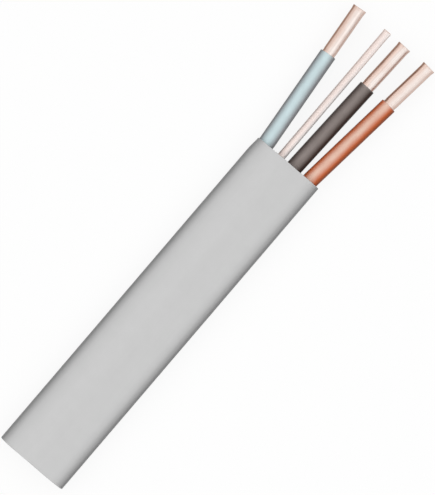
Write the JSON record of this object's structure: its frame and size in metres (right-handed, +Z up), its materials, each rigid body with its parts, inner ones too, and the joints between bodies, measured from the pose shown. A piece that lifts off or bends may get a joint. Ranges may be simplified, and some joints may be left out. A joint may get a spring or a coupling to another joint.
{
  "type": "flat three core and earth cable",
  "caption": "Straight length of flat grey sheathed wiring cable, stripped at an end so that its coloured insulated cores and bare earth wire fan out with bare copper tips.",
  "frame": {"origin": "middle of the flat underside of the sheath", "axes": "+X along the cable toward its stripped end, +Y across it toward the grey core, +Z up through its thickness"},
  "size_m": [0.091, 0.0171, 0.0054],
  "materials": {
    "sheath_plastic": "satin grey extruded PVC",
    "grey_plastic": "smooth pale grey PVC",
    "black_plastic": "smooth black PVC",
    "brown_plastic": "smooth brown PVC",
    "bare_copper": "bright drawn copper"
  },
  "bodies": {
    "root": {"outer_sheath": "sheath_plastic", "grey_insulation": "grey_plastic", "black_insulation": "black_plastic", "brown_insulation": "brown_plastic", "grey_conductor": "bare_copper", "black_conductor": "bare_copper", "brown_conductor": "bare_copper", "earth_conductor": "bare_copper"}
  },
  "joints": []
}
